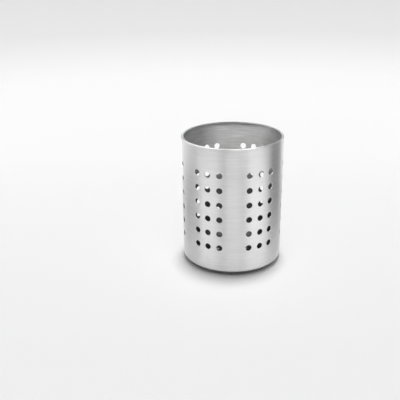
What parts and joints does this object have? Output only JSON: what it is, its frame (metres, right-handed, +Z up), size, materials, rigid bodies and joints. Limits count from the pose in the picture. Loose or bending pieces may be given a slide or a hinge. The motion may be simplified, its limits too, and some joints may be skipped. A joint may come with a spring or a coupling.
{
  "type": "utensil holder",
  "caption": "Free-standing round utensil holder of brushed stainless sheet, with groups of round holes round its side, a rim curled inwards, a rounded bottom corner and a drained floor.",
  "frame": {"origin": "on the cup's axis, at the plane that it stands on", "axes": "+Z up along the cup's axis; -Y is the front, the middle of a plain gap between two groups of holes, and the side seam is at +Y"},
  "size_m": [0.1, 0.1, 0.13],
  "materials": {
    "brushed_sheet": "fine brushed lines running round the cup, satin",
    "dressed_weld": "ground flush outside and brushed with the sheet, low satin bead inside"
  },
  "bodies": {
    "root": {"side_wall": "brushed_sheet", "side_seam_weld": "dressed_weld", "base_pan": "brushed_sheet", "base_girth_weld": "dressed_weld"}
  },
  "joints": []
}
